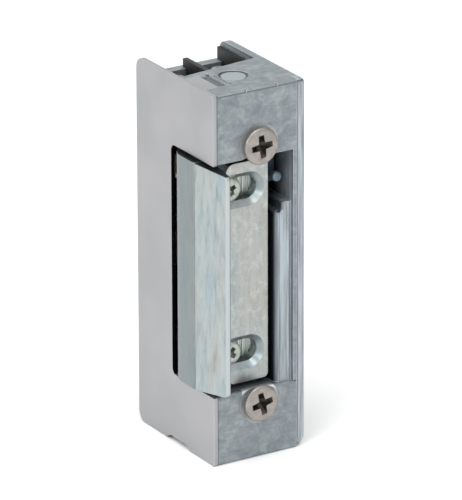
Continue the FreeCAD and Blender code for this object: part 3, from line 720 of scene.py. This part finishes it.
# wound wire: a spiral along Z whose end turns may be drawn closed, laid down and turned to its place
wireCoil, given = startTree("wireCoil", [
    ("Radius", "NodeSocketFloat"), ("Length", "NodeSocketFloat"), ("Turns", "NodeSocketFloat"),
    ("Wire", "NodeSocketFloat"), ("Closed Ends", "NodeSocketFloat"), ("Place", "NodeSocketVector"),
    ("Facing", "NodeSocketRotation"), ("Points", "NodeSocketInt"), ("Finish", "NodeSocketMaterial"),
])
spiral = addNode(wireCoil, "GeometryNodeCurveSpiral", {
    "Resolution": 32, "Rotations": given["Turns"], "Start Radius": given["Radius"],
    "End Radius": given["Radius"], "Height": given["Length"],
})
along = addNode(wireCoil, "GeometryNodeSplineParameter")
eased = addNode(wireCoil, "ShaderNodeMapRange", {
    "Value": along.outputs["Factor"],
}, interpolation_type="SMOOTHSTEP")
mixed = addNode(wireCoil, "ShaderNodeMix", {
    0: given["Closed Ends"], 2: along.outputs["Factor"], 3: eased.outputs[0],
}, data_type="FLOAT")
raised = addNode(wireCoil, "ShaderNodeMath", {0: mixed.outputs[0], 1: given["Length"]}, operation="MULTIPLY")
position = addNode(wireCoil, "GeometryNodeInputPosition")
parts = addNode(wireCoil, "ShaderNodeSeparateXYZ", {0: position.outputs[0]})
moved = addNode(wireCoil, "ShaderNodeCombineXYZ", {
    "X": parts.outputs["X"], "Y": parts.outputs["Y"], "Z": raised.outputs[0],
})
shaped = addNode(wireCoil, "GeometryNodeSetPosition", {
    "Geometry": spiral.outputs[0], "Position": moved.outputs[0],
})
section = addNode(wireCoil, "GeometryNodeCurvePrimitiveCircle", {
    "Resolution": given["Points"], "Radius": given["Wire"],
})
wire = addNode(wireCoil, "GeometryNodeCurveToMesh", {
    "Curve": shaped.outputs[0], "Profile Curve": section.outputs[0], "Fill Caps": True,
})
laid = addNode(wireCoil, "GeometryNodeTransform", {
    "Geometry": wire.outputs[0], "Translation": given["Place"], "Rotation": given["Facing"],
})
endTree(wireCoil, laid.outputs[0], given["Finish"])

coilSets = {
    # axis is the direction the wire climbs, wire its radius in mm, and closed how far the end turns are drawn
    # together; keep is the share of a squeezed spring's length that is left at the joint's far limit
    "keeperReturnCoil": {"node": "keeper_return_spring", "axis": 2, "turns": 6, "wire": 0.35, "closed": 0.0,
                         "finish": "drawnSpringSteel", "slot": "spring_steel"},
    "leverCoil": {"node": "lever_spring", "axis": 1, "turns": 5, "wire": 0.2, "closed": 0.5,
                  "finish": "drawnSpringSteel", "slot": "spring_steel",
                  "joint": "lever_release", "keep": 0.56},
    "armatureCoil": {"node": "armature_spring", "axis": 2, "turns": 4, "wire": 0.2, "closed": 0.4,
                     "finish": "drawnSpringSteel", "slot": "spring_steel",
                     "joint": "armature_lift", "keep": 0.46},
    "magnetWinding": {"node": "coil_winding", "axis": 2, "turns": 40, "wire": 0.115, "closed": 0.0,
                      "finish": "enamelledCopper", "slot": "enamelled_copper"},
}


def placeCoil(name):
    v = coilSets[name]
    low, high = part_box(v["node"])
    size = high - low
    middle = (low + high) / 2
    wireRadius = v["wire"] * mm
    length = size[v["axis"]] - 2 * wireRadius
    across = size[(v["axis"] + 1) % 3]
    place = middle.copy()
    place[v["axis"]] = low[v["axis"]] + wireRadius
    facing = (0, 0, 0) if v["axis"] == 2 else (-math.pi / 2, 0, 0)
    piece = bakeTree(name, wireCoil, {
        "Radius": across / 2 - wireRadius, "Length": length, "Turns": float(v["turns"]),
        "Wire": wireRadius, "Closed Ends": v["closed"], "Place": place, "Facing": facing,
        "Points": 10, "Finish": finishes[v["finish"]],
    })
    for polygon in piece.data.polygons:
        polygon.use_smooth = True
    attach(piece, nodes[v["node"]]["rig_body"])
    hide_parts(v["node"])
    if "joint" in v:  # a compression spring gets its own copy of its mesh
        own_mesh(piece)
    print(name, "made:", len(piece.data.polygons), "faces")


for setName in coilSets:
    placeCoil(setName)


cameraValues = {
    "azimuth": -31.51, "elevation": 21.09, "roll": -0.17, "distance": 1.1194,
    "lookAt": (2.21 * mm, 14.0 * mm, -0.14 * mm), "lens": 420.7,
}


def makeCamera():
    v = cameraValues
    azimuth = math.radians(v["azimuth"])
    elevation = math.radians(v["elevation"])
    back = Vector((
        math.sin(azimuth) * math.cos(elevation), -math.cos(azimuth) * math.cos(elevation), math.sin(elevation),
    ))
    data = bpy.data.cameras.new("camera")
    data.lens = v["lens"]
    data.sensor_width = 36.0
    data.clip_start = 0.05
    data.clip_end = 50.0
    camera = bpy.data.objects.new("camera", data)
    turn = (-back).to_track_quat("-Z", "Y").to_matrix().to_4x4()
    place = Vector(v["lookAt"]) + back * v["distance"]
    camera.matrix_world = Matrix.Translation(place) @ turn @ Matrix.Rotation(math.radians(v["roll"]), 4, "Z")
    bpy.context.scene.collection.objects.link(camera)
    bpy.context.scene.camera = camera


makeCamera()

studioValues = {
    "floor": "#f7f7f7", "bright": 0.98, "dim": 0.2, "dimSide": (1.0, -0.1, 0.0), "reach": 6.0,
    # soft boxes: place in m, size in m, power in W
    "boxes": {
        "topBox": ((-0.15, -0.2, 0.75), 0.6, 3.2),
        "leftBox": ((-0.7, -0.4, 0.4), 0.35, 2.0),
    },
}


def makeStudio():
    low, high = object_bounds()
    mesh = bpy.data.meshes.new("floor")
    reach = studioValues["reach"]
    mesh.from_pydata([
        (-reach, -reach, low.z), (reach, -reach, low.z), (reach, reach, low.z), (-reach, reach, low.z),
    ], [], [(0, 1, 2, 3)])
    floor = bpy.data.objects.new("floor", mesh)
    bpy.context.scene.collection.objects.link(floor)
    material = bpy.data.materials.new("paleStudioPaper")
    material.use_nodes = True
    paper = material.node_tree.nodes["Principled BSDF"]
    paper.inputs["Base Color"].default_value = hexToLinear(studioValues["floor"])
    paper.inputs["Roughness"].default_value = 0.9
    paper.inputs["Specular IOR Level"].default_value = 0.0
    mesh.materials.append(material)
    world = bpy.data.worlds.new("studio")
    world.use_nodes = True
    sky = world.node_tree
    direction = addNode(sky, "ShaderNodeTexCoord").outputs["Generated"]
    towards = addNode(sky, "ShaderNodeVectorMath", {
        0: direction, 1: Vector(studioValues["dimSide"]).normalized(),
    }, operation="DOT_PRODUCT")
    strength = addNode(sky, "ShaderNodeMapRange", {  # the room falls off to the object's right
        "Value": towards.outputs["Value"], "From Min": 0.5, "From Max": 1.0,
        "To Min": studioValues["bright"], "To Max": studioValues["dim"],
    }, interpolation_type="SMOOTHSTEP")
    background = sky.nodes["Background"]
    background.inputs["Color"].default_value = (1, 1, 1, 1)
    sky.links.new(strength.outputs[0], background.inputs["Strength"])
    bpy.context.scene.world = world
    aim = (low + high) / 2
    for boxName, (place, size, power) in studioValues["boxes"].items():
        light = bpy.data.lights.new(boxName, "AREA")
        light.size = size
        light.energy = power
        box = bpy.data.objects.new(boxName, light)
        turn = (aim - Vector(place)).to_track_quat("-Z", "Y").to_matrix().to_4x4()
        box.matrix_world = Matrix.Translation(place) @ turn
        bpy.context.scene.collection.objects.link(box)


makeStudio()
print("studio made")

scene = bpy.context.scene
scene.view_settings.view_transform = "Standard"
